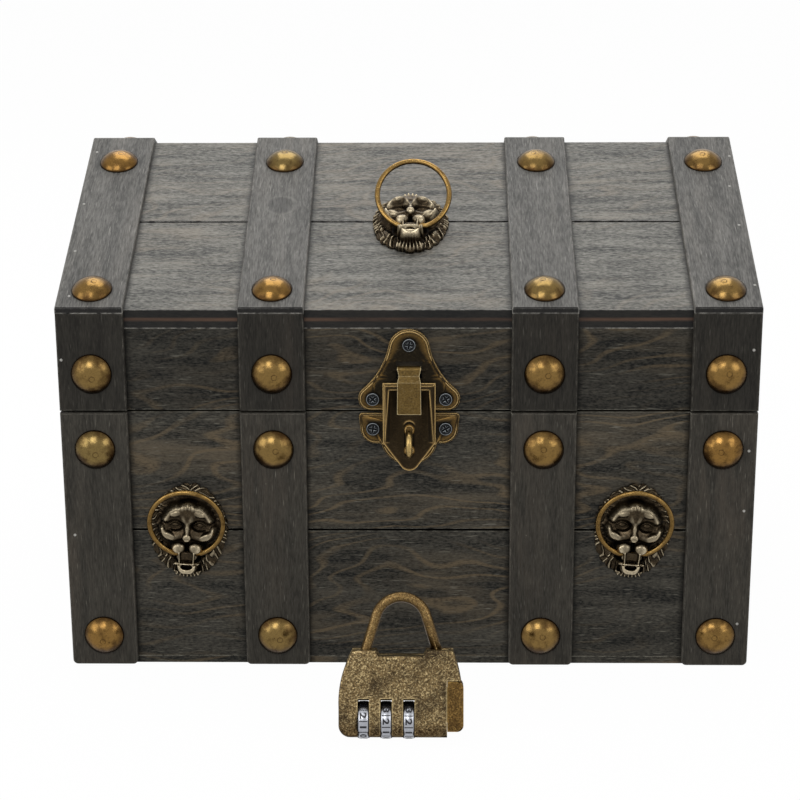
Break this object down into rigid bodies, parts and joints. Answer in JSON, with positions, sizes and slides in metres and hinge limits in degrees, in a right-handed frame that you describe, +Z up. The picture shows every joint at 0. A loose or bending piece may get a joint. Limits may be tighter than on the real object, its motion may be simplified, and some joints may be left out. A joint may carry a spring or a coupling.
{
  "type": "treasure chest box",
  "caption": "Small wooden chest with a gabled hinged lid, studded straps, lion mask pulls with rings, a hasp latch and a separate combination padlock.",
  "frame": {"origin": "on the floor, under the middle of the chest's base board", "axes": "+X to the right seen from the front, +Y to the back, +Z up; the latch faces -Y"},
  "size_m": [0.28, 0.3088, 0.2013],
  "materials": {
    "front_boards": "worn dark stain",
    "end_boards": "worn dark stain",
    "lid_planks": "worn grey stain",
    "straps": "worn dark stain",
    "studs": "aged",
    "masks": "antique, rubbed high spots",
    "rings": "bright",
    "latch": "antique, rubbed edges",
    "hasp": "brushed",
    "screws": "bronzed",
    "hinges": "antique",
    "padlock": "antique, scratched",
    "padlock_inside": "plain",
    "dials": "satin"
  },
  "bodies": {
    "chest": {"base_board": "front_boards", "front_board_lower": "front_boards", "front_board_upper": "front_boards", "back_board_lower": "front_boards", "back_board_upper": "front_boards", "left_end_lower": "end_boards", "left_end_upper": "end_boards", "right_end_lower": "end_boards", "right_end_upper": "end_boards", "body_straps_front": "straps", "body_straps_back": "straps", "body_studs": "studs", "lion_mask_left": "masks", "lion_mask_right": "masks", "latch_lower_plate": "latch", "latch_staple": "hasp", "latch_screws_lower": "screws", "hinge_leaves_body": "hinges", "hinge_pins": "hinges", "hinge_screws_body": "screws"},
    "lid": {"lid_front_board": "front_boards", "lid_back_board": "front_boards", "lid_left_gable": "end_boards", "lid_right_gable": "end_boards", "slope_plank_front_low": "lid_planks", "slope_plank_front_high": "lid_planks", "slope_plank_back_low": "lid_planks", "slope_plank_back_high": "lid_planks", "lid_straps_front": "straps", "lid_straps_front_slope": "straps", "lid_straps_back_slope": "straps", "lid_straps_back": "straps", "lid_studs_upright": "studs", "lid_studs_slope": "studs", "lion_mask_top": "masks", "latch_upper_plate": "latch", "latch_screws_upper": "screws", "hinge_leaves_lid": "hinges", "hinge_screws_lid": "screws"},
    "hasp": {"hasp_plate": "latch", "hasp_strap": "hasp"},
    "ring_left": {"ring_left": "rings"},
    "ring_right": {"ring_right": "rings"},
    "ring_top": {"ring_top": "rings"},
    "padlock": {"padlock_case_front": "padlock", "padlock_case_back": "padlock", "dial_shaft": "padlock_inside", "shackle_pin": "padlock_inside"},
    "shackle": {"shackle": "padlock"},
    "slider": {"release_slider": "padlock"},
    "dial_left": {"dial_left": "dials"},
    "dial_middle": {"dial_middle": "dials"},
    "dial_right": {"dial_right": "dials"},
    "reset_button": {"reset_button": "padlock_inside"}
  },
  "joints": [
    {"name": "lid_hinge", "type": "hinge", "parent": "chest", "child": "lid", "pos_m": [0, 0.11462, 0.11005], "axis": [-1, 0, 0], "range_deg": [0, 98]},
    {"name": "hasp_hinge", "type": "hinge", "parent": "lid", "child": "hasp", "pos_m": [0.0004, -0.1146, 0.1275], "axis": [-1, 0, 0], "range_deg": [0, 130]},
    {"name": "ring_left_swing", "type": "hinge", "parent": "chest", "child": "ring_left", "pos_m": [-0.08997, -0.1183, 0.0508], "axis": [1, 0, 0], "range_deg": [-8, 154]},
    {"name": "ring_right_swing", "type": "hinge", "parent": "chest", "child": "ring_right", "pos_m": [0.09137, -0.1183, 0.0508], "axis": [1, 0, 0], "range_deg": [-8, 154]},
    {"name": "ring_top_swing", "type": "hinge", "parent": "lid", "child": "ring_top", "pos_m": [0.0017, -0.06872, 0.17614], "axis": [1, 0, 0], "range_deg": [-31, 130]},
    {"name": "padlock_lift", "type": "slide", "parent": "chest", "child": "padlock", "axis": [0, 0, 1], "range_m": [0, 0.12]},
    {"name": "shackle_swing", "type": "hinge", "parent": "padlock", "child": "shackle", "pos_m": [-0.0174, -0.17555, 0.02813], "axis": [0, -0.9557, 0.2943], "range_deg": [0, 60]},
    {"name": "release_slide", "type": "slide", "parent": "padlock", "child": "slider", "axis": [0, -0.2943, -0.9557], "range_m": [0, 0.0022]},
    {"name": "dial_left_spin", "type": "hinge", "parent": "padlock", "child": "dial_left", "pos_m": [-0.01659, -0.182, 0.0072], "axis": [1, 0, 0], "continuous": true},
    {"name": "dial_middle_spin", "type": "hinge", "parent": "padlock", "child": "dial_middle", "pos_m": [-0.00789, -0.182, 0.0072], "axis": [1, 0, 0], "continuous": true},
    {"name": "dial_right_spin", "type": "hinge", "parent": "padlock", "child": "dial_right", "pos_m": [0.00081, -0.182, 0.0072], "axis": [1, 0, 0], "continuous": true},
    {"name": "reset_press", "type": "slide", "parent": "padlock", "child": "reset_button", "axis": [0, 0.2943, 0.9557], "range_m": [0, 0.001], "stiffness_N_per_m": 200}
  ]
}
